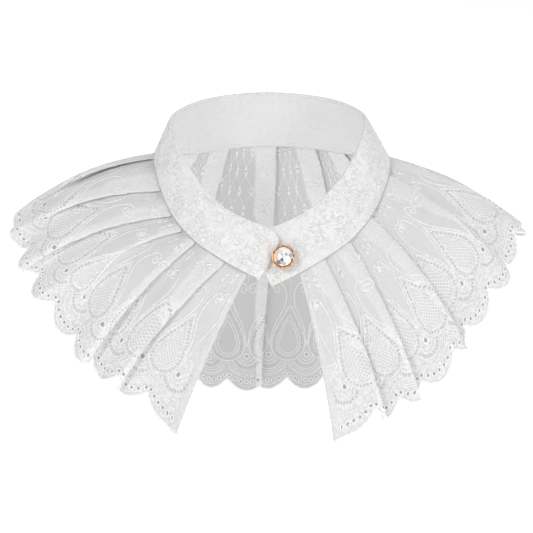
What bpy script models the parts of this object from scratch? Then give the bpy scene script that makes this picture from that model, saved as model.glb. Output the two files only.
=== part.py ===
"""Lace collar: a stand band that closes in front with one button, and a one-way pleated ruffle.

Frame: millimetres in the tables and metres in the objects, +Z up, the wearer faces -Y.
The origin is the middle of the neck at the height of the band's lower seam at the back.
Angles turn from the front (0) over +X (90) to the back (180) and over -X (270).
"""
from math import cos, pi, radians, sin

import bmesh
import bpy
import numpy as np

for old in list(bpy.data.objects):
    bpy.data.objects.remove(old, do_unlink=True)

MM = 0.001

# Driving dimensions of the band, in millimetres
TOP_HALF_WIDTH = 59.2
TOP_FRONT, TOP_BACK = 62.0, 57.0
TOP_SHIFT_X = -1.0
SEAM_HALF_WIDTH = 71.6
SEAM_FRONT, SEAM_BACK = 76.0, 66.0
SEAM_SHIFT_X = 1.4
WALL = 1.0
GAP = 0.3
LAP_STEP = 1.4
FRONT_LEAN = 0.46
BAND_COLUMNS, BAND_ROWS = 64, 6

# Driving dimensions of the ruffle, in millimetres
HEM_HALF_WIDTH = 159.0
HEM_SHIFT_X = -1.5
HEM_FRONT, HEM_BACK = 120.0, 82.0
BACK_NARROWING = 0.18
SEAM_STACK = 3.0
SCALLOP_PITCH = 27.0
SCALLOP_DEPTH = 9.0
CORNER_LENGTH = 22.0
CORNER_DROPS = (5.0, 9.0)
RUFFLE_ROWS = 11
RISE_POINTS = 3

# Heights along the three edges; the band runs past 0 and 360 where its ends lap
EDGE_COLUMNS = ("angle", "band_top", "seam", "hem", "bulge")
EDGES = (
    (-12, -25, -57, -131, 7),
    (0, -19.5, -50, -129, 7),
    (12, -15, -43, -125, 7),
    (25, -9, -35.5, -121, 8),
    (40, 1.5, -27, -102, 10),
    (55, 13, -16, -70, 12),
    (68, 23, -5, -49, 13),
    (80, 30, 3.5, -38, 12),
    (95, 32.5, 7.5, -38, 12),
    (110, 33.5, 5.5, -58, 13),
    (140, 36, -0.5, -134, 15),
    (166, 37, 0.3, -175, 16),
    (180, 37.3, 0.5, -178, 16),
    (196, 37, 0.3, -176, 16),
    (220, 36, -0.5, -134, 16),
    (250, 33.2, 7, -58, 16),
    (265, 32, 10.5, -36, 17),
    (280, 29.5, 6.5, -35, 16),
    (292, 22.5, -3.5, -50, 14),
    (305, 13, -16, -71, 12),
    (320, 1.5, -27, -97, 10),
    (335, -9, -35.5, -114, 6),
    (348, -15, -43, -119, 3),
    (360, -19.5, -50, -125, 3),
    (372, -25, -57, -129, 3),
)

# The folds in order; a negative fold at the hem means that the pleat has opened there
PLEAT_COLUMNS = ("name", "seam_angle", "hem_angle", "seam_fold", "hem_fold", "hem_rise")
PLEATS = (
    ("right front 1", 25.3, 25.7, 9.5, 3.0, 6.0),
    ("right front 2", 39.3, 34.0, 11.0, 3.0, 7.0),
    ("right front 3", 54.7, 47.2, 12.5, 2.0, 9.0),
    ("right shoulder 1", 78.0, 65.0, 15.0, -8.0, 9.0),
    ("right shoulder 2", 97.0, 82.0, 15.0, -5.0, 8.0),
    ("right shoulder 3", 115.0, 100.0, 15.0, -3.0, 8.0),
    ("right back 1", 132.5, 121.0, 14.5, 0.0, 8.0),
    ("right back 2", 149.6, 142.0, 13.5, 3.0, 7.0),
    ("back 1", 168.0, 162.0, 14.5, 4.0, 6.0),
    ("back 2", 189.5, 184.0, 15.0, 5.0, 6.0),
    ("back 3", 215.5, 207.0, 15.0, 4.0, 6.0),
    ("left back 2", 233.5, 227.0, 14.0, 3.0, 7.0),
    ("left back 1", 252.0, 249.0, 15.0, 0.0, 8.0),
    ("left shoulder 2", 271.0, 270.0, 15.0, -4.0, 8.0),
    ("left shoulder 1", 292.0, 283.0, 14.0, -3.0, 7.0),
    ("left front 4", 304.0, 293.0, 8.5, 1.0, 7.0),
    ("left front 3", 312.5, 302.0, 4.0, -12.0, 7.0),
    ("left front 2", 321.0, 319.0, 4.0, 3.0, 9.0),
    ("left front 1", 337.1, 327.0, 12.0, 3.0, 7.0),
)
RUFFLE_START = (13.0, 13.5)
RUFFLE_END = (347.8, 342.2)


def through(xs, ys, x):
    """Smooth curve through the points (xs, ys) that doesn't overshoot, read at x."""
    xs = np.asarray(xs, float)
    ys = np.asarray(ys, float)
    step = np.diff(xs)
    slope = np.diff(ys) / step
    tangent = np.zeros(len(xs))
    tangent[0], tangent[-1] = slope[0], slope[-1]
    for i in range(1, len(xs) - 1):
        if slope[i - 1] * slope[i] > 0:
            before, after = 2 * step[i] + step[i - 1], step[i] + 2 * step[i - 1]
            tangent[i] = (before + after) / (before / slope[i - 1] + after / slope[i])
    x = np.clip(np.asarray(x, float), xs[0], xs[-1])
    i = np.clip(np.searchsorted(xs, x) - 1, 0, len(xs) - 2)
    u = (x - xs[i]) / step[i]
    start = (1 + 2 * u) * (1 - u) ** 2 * ys[i] + u * (1 - u) ** 2 * step[i] * tangent[i]
    return start + u**2 * (3 - 2 * u) * ys[i + 1] + u**2 * (u - 1) * step[i] * tangent[i + 1]


def column(table, names, name):
    return [row[names.index(name)] for row in table]


def edge(name, angle):
    return through(column(EDGES, EDGE_COLUMNS, "angle"), column(EDGES, EDGE_COLUMNS, name), angle)


def ease(x):
    x = np.clip(x, 0.0, 1.0)
    return x * x * (3 - 2 * x)


def unit(v):
    return v / np.maximum(np.linalg.norm(v, axis=-1, keepdims=True), 1e-12)


def oval(angle, half_width, front, back, shift_x):
    """Point of a plan of two half ellipses: x = w sin a, y = -b cos a."""
    a = np.radians(angle)
    depth = np.where(np.cos(a) > 0, front, back)
    return half_width * np.sin(a) + shift_x, -depth * np.cos(a)


def beyond_middle(name, angle):
    """Where an end runs past the middle front it drops, and leans out to stay on the band's cone."""
    drop = edge(name, angle % 360) - edge(name, angle)
    return FRONT_LEAN * np.maximum(drop, 0)


def band_top(angle):
    x, y = oval(angle, TOP_HALF_WIDTH, TOP_FRONT, TOP_BACK, TOP_SHIFT_X)
    return np.stack([x, y - beyond_middle("band_top", angle), edge("band_top", angle)], axis=-1)


def seam_line(angle):
    x, y = oval(angle, SEAM_HALF_WIDTH, SEAM_FRONT, SEAM_BACK, SEAM_SHIFT_X)
    return np.stack([x, y - beyond_middle("seam", angle), edge("seam", angle)], axis=-1)


def hem_line(angle):
    x, y = oval(angle, HEM_HALF_WIDTH, HEM_FRONT, HEM_BACK, HEM_SHIFT_X)
    x = x * (1 - BACK_NARROWING * ease((np.abs(np.abs(angle - 180) - 90) * (np.abs(angle - 180) < 90)) / 70))
    return np.stack([x, y, edge("hem", angle)], axis=-1)


def lap_offset(angle):
    """The band's end on +X lies inside and the other one outside where they lap."""
    inside = ease((30 - angle) / 20)
    outside = ease((angle - 330) / 20)
    return LAP_STEP * (outside - inside)


def band_axes(angle):
    """Point on the seam, the direction up the band and the band's outward direction."""
    low, high = seam_line(angle), band_top(angle)
    up = high - low
    along = seam_line(angle + 0.5) - seam_line(angle - 0.5)
    out = unit(np.cross(along, up))
    return low + lap_offset(angle)[..., None] * out, up, out


def band_point(angle, height, depth):
    """height: 0 at the seam to 1 at the top; depth: millimetres outward from the middle."""
    low, up, out = band_axes(angle)
    return low + up * height[..., None] + out * depth[..., None]


# The front ends of the band slant and their top corners are rounded
def right_end(height):
    return 0.9 - 8.5 * height + 5 * (1 - np.sqrt(1 - np.clip((height - 0.82) / 0.18, 0, 1) ** 2))


def left_end(height):
    return 356.0 + 10.0 * height - 5.5 * (1 - np.sqrt(1 - np.clip((height - 0.80) / 0.20, 0, 1) ** 2))


def hem_for(seam_angle):
    seam = [RUFFLE_START[0]] + column(PLEATS, PLEAT_COLUMNS, "seam_angle") + [RUFFLE_END[0]]
    hem = [RUFFLE_START[1]] + column(PLEATS, PLEAT_COLUMNS, "hem_angle") + [RUFFLE_END[1]]
    low = np.minimum(seam_angle - RUFFLE_START[0], 0)
    high = np.maximum(seam_angle - RUFFLE_END[0], 0)
    return through(seam, hem, seam_angle) + low + high


def dot(a, b):
    return np.sum(a * b, axis=-1, keepdims=True)


def chord_frame(chord):
    """Direction of a chord and the direction that stands on it, up and out in its upright plane."""
    along = unit(chord)
    flat = unit(chord * np.array([1.0, 1.0, 0.0]))
    raised = np.array([0.0, 0.0, 1.0]) * dot(along, flat) - flat * along[..., 2:3]
    return along, raised


def base_point(angle, s):
    """The ruffle without its pleats: seam to hem along a bowed line; s is 0 at the seam, 1 at the hem."""
    low, up, out = band_axes(angle)
    hem_angle = hem_for(angle)
    end = hem_line(hem_angle)
    bulge = edge("bulge", hem_angle)[..., None]
    along, raised = chord_frame(end - low)
    leave = unit(0.5 * (end - low) + bulge * raised)
    normal = raised * dot(leave, along) - along * dot(leave, raised)
    lift = np.abs(dot(normal, unit(up)))
    start = low - unit(up) * (GAP + 0.1 + (0.53 * SEAM_STACK + 0.7 * WALL) * lift)
    along, raised = chord_frame(end - start)
    middle = 0.5 * (start + end) + bulge * raised
    s = s[..., None]
    return start * (1 - s) ** 2 + middle * 2 * s * (1 - s) + end * s**2


def base_normal(angle, s):
    """Outward normal of the base."""
    near = np.clip(s, 0.02, 0.98)
    across = base_point(angle + 0.2, near) - base_point(angle - 0.2, near)
    down = base_point(angle, near + 0.02) - base_point(angle, near - 0.02)
    return unit(np.cross(down, across))


def ruffle_section(s):
    """Angles and heights over the base of the points of one row of the pleated cloth.

    Each pleat runs forward on top, bends back at its free edge, runs back underneath, bends
    forward again at its inner edge and then rises to the next pleat.
    """
    grow = ease(s * 0.9 + 0.1 * s**2)
    rise_grow = s ** 1.3
    angles, heights = [], []
    corners = []
    for _, seam_angle, _, seam_fold, hem_fold, hem_rise in PLEATS:
        fold = seam_fold + (hem_fold - seam_fold) * grow
        rise = SEAM_STACK * 1.06 + (hem_rise - SEAM_STACK) * rise_grow
        here = np.array([seam_angle])
        step = base_point(here + 0.25, np.array([s])) - base_point(here - 0.25, np.array([s]))
        stretch = float(np.linalg.norm(step)) / 0.5
        bend = rise / 4
        inset = min(bend, 0.4 * fold)
        offsets = [-bend, 0, -inset, -fold + inset, -fold, -fold + bend]
        levels = [rise / 2, rise / 2 - bend, 0.04 * rise, -0.04 * rise, -rise / 2 + bend, -rise / 2]
        offsets.append(max(0, -fold) + 1.6 * bend + 0.5)
        levels.append(-rise / 2)
        top = seam_angle - max(fold + 1.7, 2.2 * bend) / stretch
        corners.append((seam_angle + np.array(offsets) / stretch, np.array(levels), top))
    angles = [np.array([RUFFLE_START[0]])]
    heights = [np.array([-0.3 * SEAM_STACK])]
    for points, levels, top in corners:
        start_angle, start_height = angles[-1][-1], heights[-1][-1]
        u = np.arange(1, RISE_POINTS + 1) / RISE_POINTS
        angles.append(start_angle + (top - start_angle) * u)
        heights.append(start_height + (levels[0] - start_height) * ease(u))
        angles.append(np.array([0.5 * (top + points[0])]))
        heights.append(np.array([levels[0]]))
        angles.append(points)
        heights.append(levels)
    start_angle, start_height = angles[-1][-1], heights[-1][-1]
    u = np.arange(1, 5) / 4
    angles.append(start_angle + (RUFFLE_END[0] - start_angle) * u)
    heights.append(start_height * (1 - ease(u)))
    return np.concatenate(angles), np.concatenate(heights)


def ruffle_middle():
    """Grid of points of the cloth's middle surface, rows from the seam to the scalloped hem."""
    angle, height = ruffle_section(1.0)
    ones = np.ones_like(angle)
    hem = base_point(angle, ones) + base_normal(angle, ones) * height[:, None]
    run = np.concatenate([[0], np.cumsum(np.linalg.norm(np.diff(hem, axis=0), axis=1))])
    count = round(run[-1] / SCALLOP_PITCH)
    scallop = SCALLOP_DEPTH * np.abs(np.sin(pi * run / run[-1] * count)) ** 0.8
    for drop, away in zip(CORNER_DROPS, (run, run[-1] - run)):
        scallop += (SCALLOP_DEPTH + drop - scallop) * ease(1 - away / CORNER_LENGTH)
    rows = []
    for j in range(RUFFLE_ROWS):
        s = j / (RUFFLE_ROWS - 1)
        angle, height = ruffle_section(s)
        length = np.linalg.norm(base_point(angle, ones) - base_point(angle, 0 * ones), axis=1)
        reach = s * (1 + ease(2 * s - 1) * (scallop - SCALLOP_DEPTH) / length)
        rows.append(base_point(angle, reach) + base_normal(angle, reach) * height[:, None])
    return np.array(rows), run[-1], count


def grid_normals(p):
    """Corner-true normals of a grid of points: scaled so that a wall keeps its thickness."""
    across, down = np.diff(p, axis=1), np.diff(p, axis=0)
    face = unit(np.cross(down[:, :-1] + down[:, 1:], across[:-1] + across[1:]))
    total = np.zeros_like(p)
    for a, b in ((slice(0, -1), slice(0, -1)), (slice(0, -1), slice(1, None)),
                 (slice(1, None), slice(0, -1)), (slice(1, None), slice(1, None))):
        total[a, b] += face
    mean = unit(total)
    least = np.ones(p.shape[:2])
    for a, b in ((slice(0, -1), slice(0, -1)), (slice(0, -1), slice(1, None)),
                 (slice(1, None), slice(0, -1)), (slice(1, None), slice(1, None))):
        least[a, b] = np.minimum(least[a, b], np.sum(mean[a, b] * face, axis=-1))
    return mean / np.maximum(least, 0.72)[..., None]


def make_object(name, points, faces, material):
    mesh = bpy.data.meshes.new(name)
    mesh.from_pydata([tuple(v * MM) for v in points], [], faces)
    mesh.validate()
    work = bmesh.new()
    work.from_mesh(mesh)
    bmesh.ops.recalc_face_normals(work, faces=work.faces)
    bmesh.ops.triangulate(work, faces=work.faces)
    work.to_mesh(mesh)
    work.free()
    thing = bpy.data.objects.new(name, mesh)
    bpy.context.collection.objects.link(thing)
    mesh.materials.append(material)
    return thing


def sheet_faces(rows, columns):
    """Faces of a closed sheet whose outer grid comes first and whose inner grid comes second."""
    count = rows * columns
    faces = []
    for i in range(rows - 1):
        for j in range(columns - 1):
            a = i * columns + j
            faces.append((a, a + 1, a + columns + 1, a + columns))
            faces.append((count + a, count + a + columns, count + a + columns + 1, count + a + 1))
    rim = [j for j in range(columns)]
    rim += [i * columns + columns - 1 for i in range(1, rows)]
    rim += [(rows - 1) * columns + j for j in range(columns - 2, -1, -1)]
    rim += [i * columns for i in range(rows - 2, 0, -1)]
    for a, b in zip(rim, rim[1:] + rim[:1]):
        faces.append((a, count + a, count + b, b))
    return faces


def make_material(name, colour, roughness, metallic=0.0):
    material = bpy.data.materials.new(name)
    material.use_nodes = True
    shader = material.node_tree.nodes["Principled BSDF"]
    shader.inputs["Base Color"].default_value = (*colour, 1.0)
    shader.inputs["Roughness"].default_value = roughness
    shader.inputs["Metallic"].default_value = metallic
    return material


def make_band(name, depth_out, depth_in, inset, material):
    """One strip of the band between two depths from the band's middle surface."""
    height = np.linspace(inset, 1 - inset, BAND_ROWS) ** 1.0
    u = np.linspace(0, 1, BAND_COLUMNS)
    u = u - 0.12 * np.sin(2 * pi * u) / (2 * pi)
    h, w = np.meshgrid(height, u, indexing="ij")
    start, end = right_end(h) + 0.3 * inset, left_end(h) - 0.3 * inset
    angle = start + (end - start) * w
    outer = band_point(angle, h, np.full_like(h, depth_out)).reshape(-1, 3)
    inner = band_point(angle, h, np.full_like(h, depth_in)).reshape(-1, 3)
    return make_object(name, np.vstack([outer, inner]), sheet_faces(BAND_ROWS, BAND_COLUMNS), material)


def make_ruffle(name, material):
    middle, cloth_length, count = ruffle_middle()
    normal = grid_normals(middle) * WALL / 2
    rows, columns = middle.shape[:2]
    outer, inner = (middle + normal).reshape(-1, 3), (middle - normal).reshape(-1, 3)
    print("ruffle cloth length at the hem", round(cloth_length), "mm,", count, "scallops")
    return make_object(name, np.vstack([outer, inner]), sheet_faces(rows, columns), material)


# Button: its middle on the band, its sizes in millimetres
BUTTON_ANGLE, BUTTON_HEIGHT = 6.6, 0.40
BUTTON_RADIUS = 6.6
RIM_BACK, RIM_FRONT = 4.5, 6.9
STONE_RADIUS, STONE_SEAT, STONE_TOP = 4.9, 5.8, 8.5
SHANK_RADIUS = 1.3
BUTTON_SIDES = 32
STONE_SIDES = 12


def button_axes():
    angle, height = np.array([BUTTON_ANGLE]), np.array([BUTTON_HEIGHT])
    low, up, out = band_axes(angle)
    centre = (low + up * height[:, None])[0]
    axis, upward = out[0], unit(up)[0]
    return centre, axis, upward, np.cross(upward, axis)


def make_turned(name, profile, sides, material, turn=0.0):
    """A body turned round the button's axis; the profile's points are (radius, depth)."""
    centre, axis, upward, side = button_axes()
    points, rings = [], []
    for radius, depth in profile:
        ring = []
        for k in range(sides if radius > 0 else 1):
            a = 2 * pi * (k + turn) / sides
            ring.append(len(points))
            points.append(centre + axis * depth + (side * cos(a) + upward * sin(a)) * radius)
        rings.append(ring)
    faces = []
    for low, high in zip(rings, rings[1:]):
        for k in range(sides):
            n = (k + 1) % sides
            if len(low) == 1:
                faces.append((low[0], high[n], high[k]))
            elif len(high) == 1:
                faces.append((low[k], low[n], high[0]))
            else:
                faces.append((low[k], low[n], high[n], high[k]))
    return make_object(name, points, faces, material)


white_brocade = make_material("white brocade", (0.86, 0.86, 0.85), 0.75)
white_cotton = make_material("white facing cloth", (0.88, 0.88, 0.87), 0.8)
white_lace = make_material("white lace", (0.84, 0.84, 0.84), 0.8)
gold_brass = make_material("rose gold brass", (0.80, 0.52, 0.33), 0.3, 1.0)
clear_glass = make_material("clear glass", (0.75, 0.70, 0.68), 0.1)

make_band("band_outer", GAP / 2 + WALL, GAP / 2, 0.0, white_brocade)
make_band("band_facing", -GAP / 2, -GAP / 2 - WALL, 0.0, white_cotton)
make_ruffle("ruffle", white_lace)

shank_foot = GAP / 2 + WALL + GAP + 0.05
rim_profile = [
    (0, shank_foot), (SHANK_RADIUS, shank_foot), (SHANK_RADIUS, RIM_BACK),
    (BUTTON_RADIUS - 0.8, RIM_BACK), (BUTTON_RADIUS, RIM_BACK + 0.8),
    (BUTTON_RADIUS, RIM_FRONT - 0.7), (BUTTON_RADIUS - 0.7, RIM_FRONT),
    (STONE_RADIUS + GAP, RIM_FRONT), (STONE_RADIUS + GAP, STONE_SEAT - GAP), (0, STONE_SEAT - GAP),
]
stone_profile = [
    (0, STONE_SEAT), (STONE_RADIUS, STONE_SEAT), (STONE_RADIUS, RIM_FRONT - 0.2),
    (STONE_RADIUS * 0.62, STONE_TOP), (0, STONE_TOP),
]
make_turned("button_setting", rim_profile, BUTTON_SIDES, gold_brass)
make_turned("button_stone", stone_profile, STONE_SIDES, clear_glass, 0.5)
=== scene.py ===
# %% [markdown]
# # A lace collar
# This notebook dresses a plain model of a collar as the real one: a stand band of white
# brocade, a pleated ruffle of embroidered lace, and one button with a clear stone. The
# plain model is the frame. It says where everything is, so the script starts by loading it.

import math

import bpy
import mathutils
import numpy as np
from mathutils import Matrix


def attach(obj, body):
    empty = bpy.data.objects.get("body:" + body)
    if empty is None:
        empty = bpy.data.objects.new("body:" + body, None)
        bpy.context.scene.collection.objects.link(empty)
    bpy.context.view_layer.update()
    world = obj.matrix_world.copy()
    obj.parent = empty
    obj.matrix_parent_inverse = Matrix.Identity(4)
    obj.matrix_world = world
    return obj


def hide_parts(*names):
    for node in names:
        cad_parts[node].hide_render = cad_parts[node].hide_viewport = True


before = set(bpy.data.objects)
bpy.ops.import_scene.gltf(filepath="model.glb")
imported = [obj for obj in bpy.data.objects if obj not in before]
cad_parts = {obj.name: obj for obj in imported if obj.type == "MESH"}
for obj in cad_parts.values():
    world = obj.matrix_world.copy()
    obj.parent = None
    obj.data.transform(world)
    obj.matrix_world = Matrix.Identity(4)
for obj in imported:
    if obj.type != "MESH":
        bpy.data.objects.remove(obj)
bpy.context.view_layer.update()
print("nodes:", sorted(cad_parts))

# %% [markdown]
# ## The measurements of the collar
# A collar is cut flat but worn round the neck, so its lines are heights at an angle round
# the neck: 0 is the middle front, 90 the wearer's left, 180 the back. A table of heights is
# easier to tune against a photograph than a sculpted mesh. The same table holds how far
# the ruffle bows out. A second table holds the pleats, in the order they are laid.
# Lengths are millimetres here and metres in the meshes.

# %% Heights of the three edges
EDGE_COLUMNS = ("angle", "band_top", "seam", "hem", "bulge")
EDGES = np.array([
    (-12, -25, -57, -131, 7), (0, -19.5, -50, -129, 7), (12, -15, -43, -125, 7),
    (25, -9, -35.5, -121, 8), (40, 1.5, -27, -102, 10), (55, 13, -16, -70, 12),
    (68, 23, -5, -49, 13), (80, 30, 3.5, -38, 12), (95, 32.5, 7.5, -38, 12),
    (110, 33.5, 5.5, -58, 13), (140, 36, -0.5, -134, 15), (166, 37, 0.3, -175, 16),
    (180, 37.3, 0.5, -178, 16), (196, 37, 0.3, -176, 16), (220, 36, -0.5, -134, 16), (250, 33.2, 7, -58, 16), (265, 32, 10.5, -36, 17),
    (280, 29.5, 6.5, -35, 16), (292, 22.5, -3.5, -50, 14), (305, 13, -16, -71, 12),
    (320, 1.5, -27, -97, 10), (335, -9, -35.5, -114, 6), (348, -15, -43, -119, 3),
    (360, -19.5, -50, -125, 3), (372, -25, -57, -129, 3),
], float)
print(len(EDGES), "places round the neck")

# %% The pleats: angle at the seam and at the hem, fold at both, rise at the hem
PLEATS = np.array([
    (25.3, 25.7, 9.5, 3, 6), (39.3, 34, 11, 3, 7), (54.7, 47.2, 12.5, 2, 9),
    (78, 65, 15, -8, 9), (97, 82, 15, -5, 8), (115, 100, 15, -3, 8),
    (132.5, 121, 14.5, 0, 8), (149.6, 142, 13.5, 3, 7), (168, 162, 14.5, 4, 6),
    (189.5, 184, 15, 5, 6), (215.5, 207, 15, 4, 6), (233.5, 227, 14, 3, 7),
    (252, 249, 15, 0, 8), (271, 270, 15, -4, 8), (292, 283, 14, -3, 7),
    (304, 293, 8.5, 1, 7), (312.5, 302, 4, -12, 7), (321, 319, 4, 3, 9),
    (337.1, 327, 12, 3, 7),
], float)
RUFFLE_START, RUFFLE_END = (13.0, 13.5), (347.8, 342.2)
print(len(PLEATS), "pleats")

# %% Sizes of the band and the ruffle
MM = 0.001
TOP_HALF_WIDTH, TOP_FRONT, TOP_BACK, TOP_SHIFT_X = 59.2, 62.0, 57.0, -1.0
SEAM_HALF_WIDTH, SEAM_FRONT, SEAM_BACK, SEAM_SHIFT_X = 71.6, 76.0, 66.0, 1.4
HEM_HALF_WIDTH, HEM_FRONT, HEM_BACK, HEM_SHIFT_X = 159.0, 120.0, 82.0, -1.5
BACK_NARROWING, SEAM_STACK, LAP_STEP, FRONT_LEAN = 0.18, 3.0, 1.4, 0.46
WALL, GAP, CLOTH_STACK = 1.0, 0.3, 2.0
PITCH, SCALLOP_DEPTH = 27.0, 9.0
CORNER_LENGTH, CORNER_DROPS = 22.0, (5.0, 9.0)

# %% [markdown]
# ## The form of the neck
# The band stands on an egg-shaped ring that is wider at its foot than at its top. Each ring
# is two half ellipses, and a smooth curve through the table gives its height. The curve
# mustn't overshoot between two table rows, or the hem would ripple, so its slope at each
# row is the harmonic mean of the slopes on both sides.

# %% A smooth curve through a table
def ease(x):
    """Goes from 0 to 1 with no slope at either end: 3x^2 - 2x^3."""
    x = np.clip(x, 0.0, 1.0)
    return x * x * (3 - 2 * x)


def unit(v):
    """Vectors of length 1: each divided by the root of its squares' sum."""
    return v / np.maximum(np.linalg.norm(v, axis=-1, keepdims=True), 1e-12)


def dot(a, b):
    return np.sum(a * b, axis=-1, keepdims=True)


def through(xs, ys, x):
    """Cubic between two table rows, from their heights and slopes, with no overshoot."""
    xs, ys = np.asarray(xs, float), np.asarray(ys, float)
    step = np.diff(xs)
    slope = np.diff(ys) / step
    left, right, a, b = slope[:-1], slope[1:], step[:-1], step[1:]
    same = left * right > 0
    safe_left, safe_right = np.where(same, left, 1), np.where(same, right, 1)
    mean = 3 * (a + b) / ((2 * b + a) / safe_left + (b + 2 * a) / safe_right)
    tangent = np.concatenate([slope[:1], np.where(same, mean, 0), slope[-1:]])
    x = np.clip(np.asarray(x, float), xs[0], xs[-1])
    i = np.clip(np.searchsorted(xs, x) - 1, 0, len(xs) - 2)
    u = (x - xs[i]) / step[i]
    return ((1 + 2 * u) * (1 - u) ** 2 * ys[i] + u * (1 - u) ** 2 * step[i] * tangent[i]
            + u**2 * (3 - 2 * u) * ys[i + 1] + u**2 * (u - 1) * step[i] * tangent[i + 1])


def edge(name, angle):
    """Height of a line of the collar at an angle round the neck, from the table."""
    return through(EDGES[:, 0], EDGES[:, EDGE_COLUMNS.index(name)], angle)


# %% The rings of the band
def oval(angle, half_width, front, back, shift_x):
    """Two half ellipses: x = half width * sin(angle), y = -depth * cos(angle)."""
    a = np.radians(angle)
    return half_width * np.sin(a) + shift_x, -np.where(np.cos(a) > 0, front, back) * np.cos(a)


def band_line(name, angle, *shape):
    """A ring of the band; past the middle front it drops and leans out by a share of the drop."""
    x, y = oval(angle, *shape)
    lean = FRONT_LEAN * np.maximum(edge(name, angle % 360) - edge(name, angle), 0)
    return np.stack([x, y - lean, edge(name, angle)], axis=-1)


def band_axes(angle):
    """Point on the seam, the way up the band, and the way out: along the seam crossed with up."""
    top = band_line("band_top", angle, TOP_HALF_WIDTH, TOP_FRONT, TOP_BACK, TOP_SHIFT_X)
    shape = (SEAM_HALF_WIDTH, SEAM_FRONT, SEAM_BACK, SEAM_SHIFT_X)
    low = band_line("seam", angle, *shape)
    up = top - low
    out = unit(np.cross(band_line("seam", angle + 0.5, *shape) - band_line("seam", angle - 0.5, *shape), up))
    lap = LAP_STEP * (ease((angle - 330) / 20) - ease((30 - angle) / 20))
    return low + lap[..., None] * out, up, out


def band_point(angle, height, depth):
    """Seam point + height * up + depth * out; height is 0 at the seam and 1 at the top."""
    low, up, out = band_axes(angle)
    return low + up * height[..., None] + out * depth[..., None]


def band_ends(height):
    """Angles of the two slanting front ends; a quarter circle rounds their top corners."""
    def rounded(start, size):
        return size * (1 - np.sqrt(1 - np.clip((height - start) / (1 - start), 0, 1) ** 2))
    return 0.2 - 8.0 * height + rounded(0.82, 5), 353 + 14.5 * height - rounded(0.8, 5.5)


probe = np.arange(0, 360, 90.0)
print("seam points at 0, 90, 180, 270:", np.round(band_axes(probe)[0]).tolist())

# %% [markdown]
# ## The form of the ruffle
# Under the pleats lies a smooth skirt from the seam to the hem, bowed like cloth that falls
# from a shoulder. Each of its lines is a Bezier curve with one pull point. The pleated cloth
# runs over this skirt: forward on top, back underneath, forward again, then up to the next
# pleat. The pleats are deep at the seam and open towards the hem. The section is a row of
# control points, and a cubic B-spline rounds it, because that curve never leaves the hull
# of its points and so can't make the layers cross.

# %% The skirt under the pleats
def hem_for(seam_angle):
    """Angle at the hem for an angle at the seam, through the pairs of the pleat table."""
    seam = np.concatenate([[RUFFLE_START[0]], PLEATS[:, 0], [RUFFLE_END[0]]])
    hem = np.concatenate([[RUFFLE_START[1]], PLEATS[:, 1], [RUFFLE_END[1]]])
    beyond = np.minimum(seam_angle - seam[0], 0) + np.maximum(seam_angle - seam[-1], 0)
    return through(seam, hem, seam_angle) + beyond


def hem_line(angle):
    """The hem's ring, narrowed towards the back."""
    x, y = oval(angle, HEM_HALF_WIDTH, HEM_FRONT, HEM_BACK, HEM_SHIFT_X)
    from_back = np.abs(angle - 180)
    x = x * (1 - BACK_NARROWING * ease(np.abs(from_back - 90) * (from_back < 90) / 70))
    return np.stack([x, y, edge("hem", angle)], axis=-1)


def chord_frame(chord):
    """Way along a chord, and the way square to it in its upright plane, up and out."""
    along = unit(chord)
    flat = unit(chord * np.array([1.0, 1.0, 0.0]))
    return along, np.array([0.0, 0.0, 1.0]) * dot(along, flat) - flat * along[..., 2:3]


def skirt_point(angle, s):
    """Bezier curve: start (1-s)^2 + pull point 2s(1-s) + end s^2; s is 0 at the seam, 1 at the hem."""
    low, up, out = band_axes(angle)
    hem_angle = hem_for(angle)
    end = hem_line(hem_angle)
    bulge = edge("bulge", hem_angle)[..., None]
    along, raised = chord_frame(end - low)
    leave = unit(0.5 * (end - low) + bulge * raised)
    normal = raised * dot(leave, along) - along * dot(leave, raised)
    lift = np.abs(dot(normal, unit(up)))
    start = low - unit(up) * (GAP + 0.1 + (0.53 * SEAM_STACK + 0.7 * WALL) * lift)
    along, raised = chord_frame(end - start)
    pull = 0.5 * (start + end) + bulge * raised
    s = s[..., None]
    return start * (1 - s) ** 2 + pull * 2 * s * (1 - s) + end * s**2


def skirt_normal(angle, s):
    """Way out of the skirt: the step down crossed with the step across."""
    near = np.clip(s, 0.02, 0.98)
    across = skirt_point(angle + 0.2, near) - skirt_point(angle - 0.2, near)
    down = skirt_point(angle, near + 0.02) - skirt_point(angle, near - 0.02)
    return unit(np.cross(down, across))


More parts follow.
